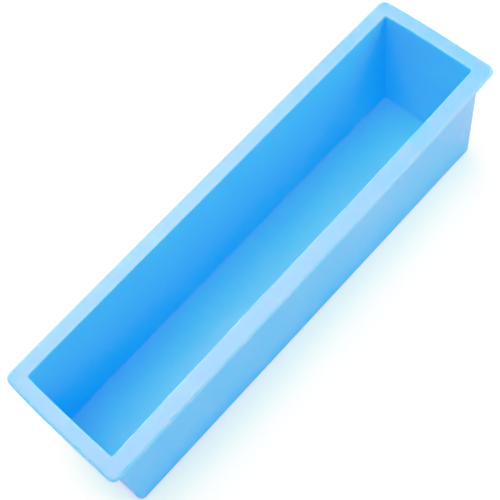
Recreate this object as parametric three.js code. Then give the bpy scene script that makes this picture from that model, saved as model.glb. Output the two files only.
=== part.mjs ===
// A rectangular silicone soap mould: a deep open-topped trough with a flat rim all round.
// Millimetres, +Z up, length along Y. The origin is the middle of the underside.
import * as THREE from "three";

// Overall size, measured over the rim.
const mouldLength = 280;
const mouldWidth = 74;
const mouldHeight = 78;

// Walls and floor.
const wallThickness = 3.8; // side wall where it meets the rim
const floorThickness = 4;
const outsideLean = 0.4; // how far each outer face leans in from rim to base
const cavityLean = 1.4; // how far each cavity face leans in from mouth to floor

// Rim.
const rimReach = 4.7; // how far the rim stands out past the outer wall
const rimThickness = 3.5;

// Rounded corners, seen from above.
const rimCornerRadius = 3.8;
const wallCornerRadius = 3.2;
const cavityCornerRadius = 1.2;

// Rounded edges, seen from the side.
const rimEdgeRadius = 1.2;
const mouthEdgeRadius = 0.7;
const baseEdgeRadius = 2;
const floorFilletRadius = 1.5;

const cornerSteps = 6; // flats round each vertical corner
const edgeSteps = 4; // flats round each rounded edge

const siliconeBlue = 0x63b9f5;

const underRim = mouldHeight - rimThickness;
const quarterTurn = Math.PI / 2;

// One level outline of the mould: how far it lies in from the rim's outline, its height and its corner radius.
function outline(inset, z, cornerRadius) {
  const x = mouldWidth / 2 - inset - cornerRadius;
  const y = mouldLength / 2 - inset - cornerRadius;
  const corners = [
    [x, y],
    [-x, y],
    [-x, -y],
    [x, -y],
  ];
  return corners.flatMap(([centreX, centreY], quarter) => {
    const points = [];
    for (let step = 0; step <= cornerSteps; step++) {
      const angle = (quarter + step / cornerSteps) * quarterTurn;
      points.push(new THREE.Vector3(
        centreX + cornerRadius * Math.cos(angle),
        centreY + cornerRadius * Math.sin(angle),
        z,
      ));
    }
    return points;
  });
}

// A run of outlines round a quarter circle in the wall's section, from one angle to the next.
function roundedEdge(inset, z, edgeRadius, fromAngle, toAngle, cornerRadius) {
  const outlines = [];
  for (let step = 0; step <= edgeSteps; step++) {
    const angle = fromAngle + ((toAngle - fromAngle) * step) / edgeSteps;
    outlines.push(outline(
      inset - edgeRadius * Math.cos(angle),
      z + edgeRadius * Math.sin(angle),
      cornerRadius,
    ));
  }
  return outlines;
}

// Up the outside, from the underside to below the rim.
function outsideWall() {
  const baseInset = rimReach + outsideLean;
  return [
    ...roundedEdge(baseInset + baseEdgeRadius, baseEdgeRadius, baseEdgeRadius,
      -quarterTurn, 0, wallCornerRadius),
    outline(rimReach, underRim, wallCornerRadius),
  ];
}

// Round the rim's outer edge, from its underside to its top.
function rimEdge() {
  return [
    ...roundedEdge(rimEdgeRadius, underRim + rimEdgeRadius, rimEdgeRadius,
      -quarterTurn, 0, rimCornerRadius),
    ...roundedEdge(rimEdgeRadius, mouldHeight - rimEdgeRadius, rimEdgeRadius,
      0, quarterTurn, rimCornerRadius),
  ];
}

// Over the mouth and down the cavity to its floor.
function cavity() {
  const mouthInset = rimReach + wallThickness;
  const floorInset = mouthInset + cavityLean;
  return [
    ...roundedEdge(mouthInset - mouthEdgeRadius, mouldHeight - mouthEdgeRadius, mouthEdgeRadius,
      quarterTurn, 2 * quarterTurn, cavityCornerRadius),
    ...roundedEdge(floorInset + floorFilletRadius, floorThickness + floorFilletRadius, floorFilletRadius,
      0, -quarterTurn, cavityCornerRadius),
  ];
}

// Joins neighbouring outlines with a skin and closes the first and the last one, which gives one closed solid.
function loft(outlines) {
  const count = outlines[0].length;
  const triangles = [];
  for (let ring = 0; ring + 1 < outlines.length; ring++) {
    for (let i = 0; i < count; i++) {
      const a = ring * count + i;
      const b = ring * count + ((i + 1) % count);
      triangles.push(a, b, b + count, a, b + count, a + count);
    }
  }
  const flat = outlines[0].map((point) => new THREE.Vector2(point.x, point.y));
  const lastRing = (outlines.length - 1) * count;
  for (const [a, b, c] of THREE.ShapeUtils.triangulateShape(flat, [])) {
    triangles.push(a, c, b);
    triangles.push(lastRing + a, lastRing + b, lastRing + c);
  }
  const geometry = new THREE.BufferGeometry().setFromPoints(outlines.flat());
  geometry.setIndex(triangles);
  geometry.computeVertexNormals();
  return geometry;
}

const silicone = new THREE.MeshStandardMaterial({
  color: siliconeBlue,
  roughness: 0.55,
  metalness: 0,
});

const mouldBody = new THREE.Mesh(loft([...outsideWall(), ...rimEdge(), ...cavity()]), silicone);
mouldBody.name = "mould_body";

const mould = new THREE.Group();
mould.add(mouldBody);

export default mould;
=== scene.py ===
# A sky-blue silicone soap mould on a pale table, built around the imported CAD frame.
import math

import bpy
from mathutils import Matrix, Vector


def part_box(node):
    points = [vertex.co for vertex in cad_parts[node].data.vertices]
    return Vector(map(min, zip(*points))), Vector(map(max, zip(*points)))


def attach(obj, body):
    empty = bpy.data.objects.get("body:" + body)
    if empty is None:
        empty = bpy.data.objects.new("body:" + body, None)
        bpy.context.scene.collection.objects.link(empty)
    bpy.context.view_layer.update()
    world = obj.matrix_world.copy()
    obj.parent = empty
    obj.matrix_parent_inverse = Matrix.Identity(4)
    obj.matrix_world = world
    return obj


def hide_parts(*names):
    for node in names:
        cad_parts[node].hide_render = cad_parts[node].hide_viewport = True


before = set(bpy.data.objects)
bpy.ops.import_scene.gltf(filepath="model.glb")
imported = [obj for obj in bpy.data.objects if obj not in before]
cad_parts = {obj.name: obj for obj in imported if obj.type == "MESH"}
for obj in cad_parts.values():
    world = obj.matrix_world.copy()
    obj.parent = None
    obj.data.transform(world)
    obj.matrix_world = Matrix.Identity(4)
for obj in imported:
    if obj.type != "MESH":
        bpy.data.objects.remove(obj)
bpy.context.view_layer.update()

bodyLow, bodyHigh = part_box("mould_body")
bodySize = bodyHigh - bodyLow
mm = 0.001  # metres in a millimetre


cameraView = {
    "azimuth": 53.7,  # degrees round from the mould's near end towards its right side
    "elevation": 64.2,  # degrees above the table
    "roll": -12.7,  # degrees of tilt, as in a hand-held shot
    "lookAt": (-6.9 * mm, -5.3 * mm, 39 * mm),
    "distance": 549.3 * mm,
    "lens": 75.8,  # millimetres, on a sensor 36 mm wide
}


def addCamera(view):
    azimuth, elevation = math.radians(view["azimuth"]), math.radians(view["elevation"])
    back = Vector((
        math.sin(azimuth) * math.cos(elevation),
        -math.cos(azimuth) * math.cos(elevation),
        math.sin(elevation),
    ))
    right = Matrix.Rotation(math.radians(view["roll"]), 3, back) @ Vector((0, 0, 1)).cross(back)
    right.normalize()
    up = back.cross(right)
    place = Matrix((right, up, back)).transposed().to_4x4()
    place.translation = Vector(view["lookAt"]) + back * view["distance"]
    camera = bpy.data.objects.new("studioCamera", bpy.data.cameras.new("studioCamera"))
    camera.data.sensor_width = 36
    camera.data.lens = view["lens"]
    camera.data.clip_start = 0.01
    camera.matrix_world = place
    bpy.context.scene.collection.objects.link(camera)
    bpy.context.scene.camera = camera


addCamera(cameraView)
print("camera placed")


def addNode(tree, kind, inputs=None, **settings):
    node = tree.nodes.new(kind)
    node.location = (190 * (len(tree.nodes) % 24), -260 * (len(tree.nodes) // 24))
    for name, value in settings.items():
        setattr(node, name, value)
    for socket, value in (inputs or {}).items():
        if isinstance(value, bpy.types.NodeSocket):
            tree.links.new(value, node.inputs[socket])
        else:
            node.inputs[socket].default_value = value
    return node


def calc(tree, operation, *values):
    return addNode(tree, "ShaderNodeMath", dict(enumerate(values)), operation=operation).outputs[0]


def vectorCalc(tree, operation, first, second):
    slot = "Scale" if operation == "SCALE" else 1
    output = "Value" if operation == "DISTANCE" else 0
    node = addNode(tree, "ShaderNodeVectorMath", {0: first, slot: second}, operation=operation)
    return node.outputs[output]


def joinXyz(tree, x, y, z):
    return addNode(tree, "ShaderNodeCombineXYZ", {0: x, 1: y, 2: z}).outputs[0]


def splitXyz(tree, vector):
    return addNode(tree, "ShaderNodeSeparateXYZ", {0: vector}).outputs


mould = {
    "Width": bodySize.x,  # over the rim
    "Length": bodySize.y,
    "Height": bodySize.z,
    "Rim reach": 4.7 * mm,  # past the outer wall
    "Rim thickness": 3.5 * mm,
    "Wall": 3.8 * mm,  # where it meets the rim
    "Floor": 4 * mm,
    "Outside lean": 0.4 * mm,
    "Cavity lean": 1.4 * mm,
    "Rim corner": 3.8 * mm,  # corner radii seen from above
    "Wall corner": 3.2 * mm,
    "Cavity corner": 1.2 * mm,
    "Rim edge": 1.4 * mm,  # edge radii seen in section
    "Under rim fillet": 1 * mm,
    "Mouth edge": 0.7 * mm,
    "Base edge": 2 * mm,
    "Floor fillet": 1.5 * mm,
    "Seam height": 0.05 * mm,  # the trimmed line left where the two halves of the tool met
    "Seam half width": 0.25 * mm,
    "Base twist": 0.8 * mm,  # how the soft walls have relaxed
    "Side bow": 0.4 * mm,
    "Right side wave": 0.85 * mm,
    "Right rim flare": 0.95 * mm,
    "Right rim bow": 0.35 * mm,
    "End bow": 0.6 * mm,
    "End skew": 0.6 * mm,
    "Ripple": 0.35 * mm,
    "Ripple size": 90 * mm,
    "Ring spacing": 1.6 * mm,  # mesh fineness
    "Column spacing": 4 * mm,
}
cornerSteps = 8
edgeSteps = 7


def segmentStep(tree):
    # the step from each curve point to the next one, as a vector
    here = addNode(tree, "GeometryNodeInputPosition").outputs[0]
    ahead = addNode(tree, "GeometryNodeOffsetPointInCurve", {"Offset": 1}).outputs["Point Index"]
    there = addNode(tree, "GeometryNodeFieldAtIndex", {"Index": ahead, "Value": here},
                    data_type="FLOAT_VECTOR").outputs[0]
    return vectorCalc(tree, "SUBTRACT", there, here)


def storeAttribute(tree, geometry, name, kind, value):
    inputs = {"Geometry": geometry, "Name": name, "Value": value}
    node = addNode(tree, "GeometryNodeStoreNamedAttribute", inputs, data_type=kind, domain="POINT")
    return node.outputs[0]


def readAttribute(tree, name, kind):
    return addNode(tree, "GeometryNodeInputNamedAttribute", {"Name": name}, data_type=kind).outputs[0]


def indexSwitch(tree, kind, values):
    node = addNode(tree, "GeometryNodeIndexSwitch", data_type=kind)
    while len(node.index_switch_items) < len(values):
        node.index_switch_items.new()
    tree.links.new(addNode(tree, "GeometryNodeInputIndex").outputs[0], node.inputs["Index"])
    for i, value in enumerate(values):
        if isinstance(value, bpy.types.NodeSocket):
            tree.links.new(value, node.inputs[i + 1])
        else:
            node.inputs[i + 1].default_value = value
    return node.outputs[0]


def sectionCurve(tree, given):
    # the wall in section, from the middle of the underside over the rim to the middle of the cavity floor
    middle = calc(tree, "MULTIPLY", given["Width"], 0.5)
    baseInset = calc(tree, "ADD", given["Rim reach"], given["Outside lean"])
    mouthInset = calc(tree, "ADD", given["Rim reach"], given["Wall"])
    floorInset = calc(tree, "ADD", mouthInset, given["Cavity lean"])
    underRim = calc(tree, "SUBTRACT", given["Height"], given["Rim thickness"])
    seam = calc(tree, "MULTIPLY_ADD", given["Rim thickness"], 0.5, underRim)
    seamOut = calc(tree, "MULTIPLY", given["Seam height"], -1)
    rows = [
        # inset from the rim's outline, height, edge radius, corner radius
        (middle, 0, 0, 0),
        (baseInset, 0, given["Base edge"], given["Wall corner"]),
        (given["Rim reach"], underRim, given["Under rim fillet"], given["Wall corner"]),
        (0, underRim, given["Rim edge"], given["Rim corner"]),
        (0, calc(tree, "SUBTRACT", seam, given["Seam half width"]), 0, given["Rim corner"]),
        (seamOut, seam, 0, given["Rim corner"]),
        (0, calc(tree, "ADD", seam, given["Seam half width"]), 0, given["Rim corner"]),
        (0, given["Height"], given["Rim edge"], given["Rim corner"]),
        (mouthInset, given["Height"], given["Mouth edge"], given["Cavity corner"]),
        (floorInset, given["Floor"], given["Floor fillet"], given["Cavity corner"]),
        (middle, given["Floor"], 0, 0),
    ]
    line = addNode(tree, "GeometryNodeCurvePrimitiveLine").outputs[0]
    line = addNode(tree, "GeometryNodeResampleCurve", {"Curve": line, "Count": len(rows)}).outputs[0]
    points = indexSwitch(tree, "VECTOR", [joinXyz(tree, inset, z, 0) for inset, z, _, _ in rows])
    line = addNode(tree, "GeometryNodeSetPosition", {"Geometry": line, "Position": points}).outputs[0]
    corner = indexSwitch(tree, "FLOAT", [row[3] for row in rows])
    line = storeAttribute(tree, line, "corner", "FLOAT", corner)
    edge = indexSwitch(tree, "FLOAT", [row[2] for row in rows])
    fillet = {"Curve": line, "Count": edgeSteps, "Radius": edge, "Limit Radius": True}
    line = addNode(tree, "GeometryNodeFilletCurve", fillet, mode="POLY").outputs[0]
    length = addNode(tree, "ShaderNodeVectorMath", {0: segmentStep(tree)}, operation="LENGTH")
    length = length.outputs["Value"]
    cuts = calc(tree, "FLOOR", calc(tree, "DIVIDE", length, given["Ring spacing"]))
    line = addNode(tree, "GeometryNodeSubdivideCurve", {"Curve": line, "Cuts": cuts}).outputs[0]
    here = addNode(tree, "GeometryNodeInputPosition").outputs[0]
    return storeAttribute(tree, line, "section", "FLOAT_VECTOR", here)


def outlineCurve(tree, given):
    # a square round the origin with rounded corners, whose points say which way each column faces
    frameHalf, roundness = 1, 0.5
    square = addNode(tree, "GeometryNodeCurvePrimitiveQuadrilateral",
                     {"Width": 2 * frameHalf, "Height": 2 * frameHalf}).outputs[0]
    here = addNode(tree, "GeometryNodeInputPosition").outputs[0]
    square = storeAttribute(tree, square, "cornerSign", "FLOAT_VECTOR", here)
    square = addNode(tree, "GeometryNodeFilletCurve",
                     {"Curve": square, "Count": cornerSteps, "Radius": roundness}, mode="POLY").outputs[0]
    sign = readAttribute(tree, "cornerSign", "FLOAT_VECTOR")
    centre = vectorCalc(tree, "SCALE", sign, frameHalf - roundness)
    here = addNode(tree, "GeometryNodeInputPosition").outputs[0]
    outward = vectorCalc(tree, "SCALE", vectorCalc(tree, "SUBTRACT", here, centre), 1 / roundness)
    square = storeAttribute(tree, square, "outward", "FLOAT_VECTOR", outward)
    # the straights are cut into columns, more of them along the length
    step = addNode(tree, "ShaderNodeVectorMath", {0: segmentStep(tree)}, operation="ABSOLUTE")
    step = splitXyz(tree, step.outputs[0])
    straightX = calc(tree, "GREATER_THAN", step[0], 0.9 * (2 * frameHalf - 2 * roundness))
    straightY = calc(tree, "GREATER_THAN", step[1], 0.9 * (2 * frameHalf - 2 * roundness))
    across = calc(tree, "MULTIPLY", straightX, calc(tree, "DIVIDE", given["Width"], given["Column spacing"]))
    along = calc(tree, "MULTIPLY", straightY, calc(tree, "DIVIDE", given["Length"], given["Column spacing"]))
    cuts = calc(tree, "FLOOR", calc(tree, "ADD", across, along))
    return addNode(tree, "GeometryNodeSubdivideCurve", {"Curve": square, "Cuts": cuts}).outputs[0]


def skinPosition(tree, given):
    # each point of the skin, from its place in the section and on the outline
    section = splitXyz(tree, readAttribute(tree, "section", "FLOAT_VECTOR"))
    corner = readAttribute(tree, "corner", "FLOAT")
    half = vectorCalc(tree, "SCALE", joinXyz(tree, given["Width"], given["Length"], 0), 0.5)
    inset = calc(tree, "ADD", section[0], corner)
    centre = vectorCalc(tree, "SUBTRACT", half, joinXyz(tree, inset, inset, 0))
    centre = vectorCalc(tree, "MULTIPLY", centre, readAttribute(tree, "cornerSign", "FLOAT_VECTOR"))
    reach = vectorCalc(tree, "SCALE", readAttribute(tree, "outward", "FLOAT_VECTOR"), corner)
    level = joinXyz(tree, 0, 0, section[1])
    return vectorCalc(tree, "ADD", vectorCalc(tree, "ADD", centre, reach), level)


def relaxedOffset(tree, given):
    # u runs across, v along and h up: the base is slightly twisted, and the walls bow more towards the rim
    here = addNode(tree, "GeometryNodeInputPosition").outputs[0]
    x, y, z = splitXyz(tree, here)
    halfWidth = calc(tree, "MULTIPLY", given["Width"], 0.5)
    u = calc(tree, "DIVIDE", x, halfWidth)
    v = calc(tree, "DIVIDE", y, calc(tree, "MULTIPLY", given["Length"], 0.5))
    h = calc(tree, "DIVIDE", z, given["Height"])
    v2, u2 = calc(tree, "MULTIPLY", v, v), calc(tree, "MULTIPLY", u, u)
    uv2 = calc(tree, "MULTIPLY", u, v2)
    rightness = calc(tree, "MULTIPLY_ADD", u, 0.5, 0.5)
    wave = calc(tree, "MULTIPLY", calc(tree, "MULTIPLY", v, v2), rightness)
    pinch = calc(tree, "MULTIPLY", uv2, given["Side bow"])
    pinch = calc(tree, "MULTIPLY_ADD", wave, given["Right side wave"], pinch)
    twist = calc(tree, "MULTIPLY", v, given["Base twist"])
    twist = calc(tree, "MULTIPLY", calc(tree, "SUBTRACT", 1, h), twist)
    offsetX = calc(tree, "SUBTRACT", twist, calc(tree, "MULTIPLY", h, pinch))
    # the right rim stands out a little further, most of all half-way along
    wallLine = calc(tree, "SUBTRACT", 1, calc(tree, "DIVIDE", given["Rim reach"], halfWidth))
    flare = calc(tree, "MULTIPLY", calc(tree, "SUBTRACT", 1, v2), given["Right rim bow"])
    flare = calc(tree, "ADD", flare, given["Right rim flare"])
    offsetX = calc(tree, "MULTIPLY_ADD", smoothMask(tree, u, 1, wallLine), flare, offsetX)
    vu2 = calc(tree, "MULTIPLY", v, u2)
    endShape = calc(tree, "MULTIPLY", calc(tree, "MULTIPLY", vu2, u), given["End skew"])
    endShape = calc(tree, "SUBTRACT", endShape, calc(tree, "MULTIPLY", vu2, given["End bow"]))
    offsetY = calc(tree, "MULTIPLY", h, endShape)
    frequency = calc(tree, "DIVIDE", 1, given["Ripple size"])
    noise = addNode(tree, "ShaderNodeTexNoise",
                    {"Vector": here, "Scale": frequency, "Detail": 1.5, "Roughness": 0.5})
    centred = vectorCalc(tree, "SUBTRACT", noise.outputs["Color"], (0.5, 0.5, 0.62))
    ripple = vectorCalc(tree, "SCALE", centred, calc(tree, "MULTIPLY", h, given["Ripple"]))
    return vectorCalc(tree, "ADD", joinXyz(tree, offsetX, offsetY, 0), ripple)


def smoothMask(tree, value, full, none):
    return addNode(tree, "ShaderNodeMapRange", {0: value, 1: full, 2: none, 3: 1, 4: 0},
                   interpolation_type="SMOOTHSTEP").outputs[0]


def storeMasks(tree, skin, given):
    # edge: where a painted highlight goes, on the rim's outer edge and, more faintly, the base corner;
    # cavity: everything inside the mouth
    edgeStart = 0.3 * mm
    rimFade = 1.3 * mm
    baseFade = 4 * mm
    baseShare = 0.3
    mouthOverlap = 0.4 * mm
    section = readAttribute(tree, "section", "FLOAT_VECTOR")
    inset, z, _ = splitXyz(tree, section)
    mouthInset = calc(tree, "ADD", given["Rim reach"], given["Wall"])
    baseCorner = joinXyz(tree, calc(tree, "ADD", given["Rim reach"], given["Outside lean"]), 0, 0)
    away = vectorCalc(tree, "DISTANCE", section, baseCorner)
    rimEdge = smoothMask(tree, inset, edgeStart, rimFade)
    baseEdge = calc(tree, "MULTIPLY", smoothMask(tree, away, edgeStart, baseFade), baseShare)
    edge = calc(tree, "MAXIMUM", rimEdge, baseEdge)
    skin = storeAttribute(tree, skin, "edge", "FLOAT", edge)
    inner = calc(tree, "GREATER_THAN", inset, calc(tree, "SUBTRACT", mouthInset, mouthOverlap))
    aboveFloor = calc(tree, "GREATER_THAN", z, calc(tree, "MULTIPLY", given["Floor"], 0.5))
    return storeAttribute(tree, skin, "cavity", "FLOAT", calc(tree, "MULTIPLY", inner, aboveFloor))


def mouldTree(sizes):
    tree = bpy.data.node_groups.new("mouldShape", "GeometryNodeTree")
    for label in sizes:
        tree.interface.new_socket(name=label, in_out="INPUT", socket_type="NodeSocketFloat")
    tree.interface.new_socket(name="Material", in_out="INPUT", socket_type="NodeSocketMaterial")
    tree.interface.new_socket(name="Geometry", in_out="OUTPUT", socket_type="NodeSocketGeometry")
    given = addNode(tree, "NodeGroupInput").outputs
    curves = {"Curve": outlineCurve(tree, given), "Profile Curve": sectionCurve(tree, given)}
    skin = addNode(tree, "GeometryNodeCurveToMesh", curves).outputs[0]
    skin = addNode(tree, "GeometryNodeSetPosition",
                   {"Geometry": skin, "Position": skinPosition(tree, given)}).outputs[0]
    skin = addNode(tree, "GeometryNodeMergeByDistance", {"Geometry": skin, "Distance": 0.02 * mm}).outputs[0]
    skin = addNode(tree, "GeometryNodeFlipFaces", {"Mesh": skin}).outputs[0]  # every face looks outward
    skin = storeMasks(tree, skin, given)
    skin = addNode(tree, "GeometryNodeSetPosition",
                   {"Geometry": skin, "Offset": relaxedOffset(tree, given)}).outputs[0]
    skin = addNode(tree, "GeometryNodeSetShadeSmooth", {"Geometry": skin}).outputs[0]
    skin = addNode(tree, "GeometryNodeRealizeInstances", {"Geometry": skin}).outputs[0]
    covered = {"Geometry": skin, "Material": given["Material"]}
    skin = addNode(tree, "GeometryNodeSetMaterial", covered).outputs[0]
    addNode(tree, "NodeGroupOutput", {"Geometry": skin})
    return tree


def buildMould(sizes, material):
    tree = mouldTree(sizes)
    carrier = bpy.data.objects.new("mouldCarrier", bpy.data.meshes.new("mouldCarrier"))
    bpy.context.scene.collection.objects.link(carrier)
    modifier = carrier.modifiers.new("mouldShape", "NODES")
    modifier.node_group = tree
    for item in tree.interface.items_tree:
        if item.in_out == "INPUT":
            modifier[item.identifier] = material if item.name == "Material" else sizes[item.name]
    graph = bpy.context.evaluated_depsgraph_get()
    mesh = bpy.data.meshes.new_from_object(carrier.evaluated_get(graph), depsgraph=graph)
    bpy.data.objects.remove(carrier)
    for name in ("corner", "section", "cornerSign", "outward"):  # needed only while the skin was being built
        mesh.attributes.remove(mesh.attributes[name])
    mesh.name = "siliconeMould"
    piece = bpy.data.objects.new("silicone_mould", mesh)
    bpy.context.scene.collection.objects.link(piece)
    return piece


silicone = {
    "colour": (0.20, 0.55, 0.98, 1),
    "paleCloudAndEdgeLight": (0.30, 0.65, 0.98, 1),  # the paler clouds in the mix, and the painted highlight along the rim's outer edge and base corner
    "deepColour": (0.17, 0.50, 0.96, 1),  # the denser clouds
    "cloudSize": 38 * mm,
    "cloudAmount": 0.22,
    # painted highlight: how strongly the rim's outer edge and base corner are painted paler, standing in for
    # light catching them
    "paintedEdgeLight": 0.45,
    "bloom": 0.045,  # the powdery film that handled silicone picks up
    "bloomColour": (0.55, 0.76, 0.95, 1),
    "bloomSize": 14 * mm,
    "outerRoughness": 0.46,
    "cavityRoughness": 0.41,  # the cavity is moulded against a smoother face
    "speckleSize": 1.6 * mm,  # small patches of more and less shine
    "specular": 0.5,
    "depth": (1 * mm, 5 * mm, 10 * mm),  # how far red, green and blue travel inside
    "grainSize": 0.5 * mm,
    "grainHeight": 0.012 * mm,
    "waveSize": 12 * mm,
    "waveHeight": 0.035 * mm,
}


def noiseValue(tree, place, size, detail=2.0, distortion=0.0):
    inputs = {"Vector": place, "Scale": 1 / size, "Detail": detail, "Distortion": distortion}
    return addNode(tree, "ShaderNodeTexNoise", inputs).outputs["Fac"]


def remap(tree, value, low, high, toLow=0.0, toHigh=1.0):
    return addNode(tree, "ShaderNodeMapRange", {0: value, 1: low, 2: high, 3: toLow, 4: toHigh},
                   interpolation_type="SMOOTHSTEP").outputs[0]


def mixColour(tree, factor, first, second):
    return addNode(tree, "ShaderNodeMix", {0: factor, 6: first, 7: second}, data_type="RGBA").outputs[2]


def maskFrom(tree, name):
    return addNode(tree, "ShaderNodeAttribute", attribute_name=name).outputs["Fac"]


def siliconeMaterial(look):
    material = bpy.data.materials.new("siliconeSkyBlue")
    material.use_nodes = True
    tree = material.node_tree
    shader = tree.nodes["Principled BSDF"]
    place = addNode(tree, "ShaderNodeTexCoord").outputs["Object"]
    edge = maskFrom(tree, "edge")
    cavity = maskFrom(tree, "cavity")

    # colour: cloudy pigment, with a painted highlight that makes the rim's outer edge and base corner paler
    # where light catches them, and a faint film over it
    cloud = noiseValue(tree, place, look["cloudSize"], 3, 0.4)
    pale = remap(tree, cloud, 0.5, 0.75, 0, look["cloudAmount"])
    deep = remap(tree, cloud, 0.5, 0.25, 0, look["cloudAmount"])
    colour = mixColour(tree, pale, look["colour"], look["paleCloudAndEdgeLight"])
    colour = mixColour(tree, deep, colour, look["deepColour"])
    # painted highlight, laid along the edge mask
    colour = mixColour(tree, calc(tree, "MULTIPLY", edge, look["paintedEdgeLight"]), colour, look["paleCloudAndEdgeLight"])
    film = noiseValue(tree, place, look["bloomSize"], 5, 1.2)
    film = remap(tree, film, 0.52, 0.78)
    colour = mixColour(tree, calc(tree, "MULTIPLY", film, look["bloom"]), colour, look["bloomColour"])
    tree.links.new(colour, shader.inputs["Base Color"])

    # roughness: smoother in the cavity, rougher where the film lies and on the rubbed edges
    roughness = remap(tree, cavity, 0, 1, look["outerRoughness"], look["cavityRoughness"])
    roughness = calc(tree, "MULTIPLY_ADD", film, 0.1, roughness)
    roughness = calc(tree, "MULTIPLY_ADD", edge, 0.05, roughness)
    speckle = noiseValue(tree, place, look["speckleSize"], 2)
    roughness = calc(tree, "MULTIPLY_ADD", calc(tree, "SUBTRACT", speckle, 0.5), 0.12, roughness)
    tree.links.new(roughness, shader.inputs["Roughness"])

    # relief: slow waves in the soft walls under a fine moulded grain
    wave = calc(tree, "MULTIPLY", noiseValue(tree, place, look["waveSize"], 1), look["waveHeight"])
    grain = noiseValue(tree, place, look["grainSize"], 2)
    grainHeight = remap(tree, cavity, 0, 1, look["grainHeight"], 0.4 * look["grainHeight"])
    height = calc(tree, "MULTIPLY_ADD", grain, grainHeight, wave)
    bump = addNode(tree, "ShaderNodeBump", {"Height": height, "Distance": 1.0, "Strength": 1.0})
    tree.links.new(bump.outputs[0], shader.inputs["Normal"])

    shader.inputs["IOR"].default_value = 1.41
    shader.inputs["Specular IOR Level"].default_value = look["specular"]
    shader.inputs["Subsurface Weight"].default_value = 1
    shader.inputs["Subsurface Radius"].default_value = look["depth"]
    shader.inputs["Subsurface Scale"].default_value = 1
    return material


piece = buildMould(mould, siliconeMaterial(silicone))
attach(piece, "root")
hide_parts("mould_body")
print("mould built:", len(piece.data.vertices), "vertices")

studio = {
    "floorSize": 3.0,  # metres
    "floorColour": (0.8, 0.8, 0.8, 1),
    "nearGlow": 0.42,  # lifts the table to white in the camera's view alone
    "bounce": 0.03,  # what the table adds to the light on the walls
    "farGlow": 1.3,  # away from the mould, where the table fades into a white backdrop
    "glowReach": (0.22, 0.9),  # metres from the middle, where the lift starts and stops growing
    "skyStrength": 0.1,
    "backdrop": 1.3,
    "softboxes": {
        # place and width in metres, power in watts
        "overhead": ((-0.22, 0.05, 1.0), 0.65, 7.4),
        "overheadRight": ((0.5, 0.4, 0.8), 0.7, 1.2),
        "overheadNear": ((0, -0.6, 0.8), 0.7, 1.9),
        "sideLeft": ((-0.8, 0, 0.45), 0.6, 3.2),
        "farRight": ((0.75, 0.55, 0.45), 0.6, 3.9),
    },
    "tone": (
        # the response of red, green and blue, each from dark to light
        ((0, 0), (0.03, 0.01), (0.05, 0.04), (0.1, 0.06), (0.2, 0.2), (0.3, 0.45), (0.75, 0.7),
         (1, 0.97), (1.15, 1.01)),
        ((0, 0), (0.1, 0.22), (0.25, 0.38), (0.5, 0.58), (0.7, 0.7), (0.9, 0.92), (1.15, 1.01)),
        ((0, 0), (0.3, 0.6), (0.6, 0.87), (0.85, 0.9), (1, 0.95), (1.2, 1.01)),
    ),
}


def addSoftbox(name, place, width, power):
    light = bpy.data.objects.new(name, bpy.data.lights.new(name, "AREA"))
    light.data.shape = "SQUARE"
    light.data.size = width
    light.data.energy = power
    light.location = place
    light.rotation_euler = Vector(place).to_track_quat("Z", "Y").to_euler()
    bpy.context.scene.collection.objects.link(light)


def setTone(channels):
    # a soft contrast curve for each colour, as a camera gives
    view = bpy.context.scene.view_settings
    view.view_transform = "Standard"
    view.use_curve_mapping = True
    mapping = view.curve_mapping
    mapping.use_clip = False
    for curve, points in zip(mapping.curves, channels):
        for i, (x, y) in enumerate(points):
            if i < len(curve.points):
                curve.points[i].location = (x, y)
            else:
                curve.points.new(x, y)
    mapping.update()


def addStudio(look):
    mesh = bpy.data.meshes.new("tableTop")
    h = look["floorSize"] / 2
    mesh.from_pydata([(-h, -h, 0), (h, -h, 0), (h, h, 0), (-h, h, 0)], [], [(0, 1, 2, 3)])
    table = bpy.data.objects.new("table_top", mesh)
    bpy.context.scene.collection.objects.link(table)
    material = bpy.data.materials.new("tableWhite")
    material.use_nodes = True
    shader = material.node_tree.nodes["Principled BSDF"]
    shader.inputs["Base Color"].default_value = look["floorColour"]
    shader.inputs["Roughness"].default_value = 0.9
    shader.inputs["Specular IOR Level"].default_value = 0.0
    shader.inputs["Emission Color"].default_value = (1, 1, 1, 1)
    tree = material.node_tree
    away = vectorCalc(tree, "DISTANCE", addNode(tree, "ShaderNodeTexCoord").outputs["Object"], (0, 0, 0))
    glow = remap(tree, away, *look["glowReach"], look["nearGlow"], look["farGlow"])
    seen = addNode(tree, "ShaderNodeLightPath").outputs["Is Camera Ray"]
    glow = calc(tree, "MULTIPLY_ADD", seen, calc(tree, "SUBTRACT", glow, look["bounce"]), look["bounce"])
    tree.links.new(glow, shader.inputs["Emission Strength"])
    mesh.materials.append(material)
    for name, (place, width, power) in look["softboxes"].items():
        addSoftbox(name, place, width, power)
    world = bpy.data.worlds.new("studioSky")
    world.use_nodes = True
    tree = world.node_tree
    tree.nodes["Background"].inputs["Color"].default_value = (1, 1, 1, 1)
    seen = addNode(tree, "ShaderNodeLightPath").outputs["Is Camera Ray"]
    strength = remap(tree, seen, 0, 1, look["skyStrength"], look["backdrop"])
    tree.links.new(strength, tree.nodes["Background"].inputs["Strength"])
    bpy.context.scene.world = world
    setTone(look["tone"])


addStudio(studio)
print("studio lit:", len(studio["softboxes"]), "softboxes")
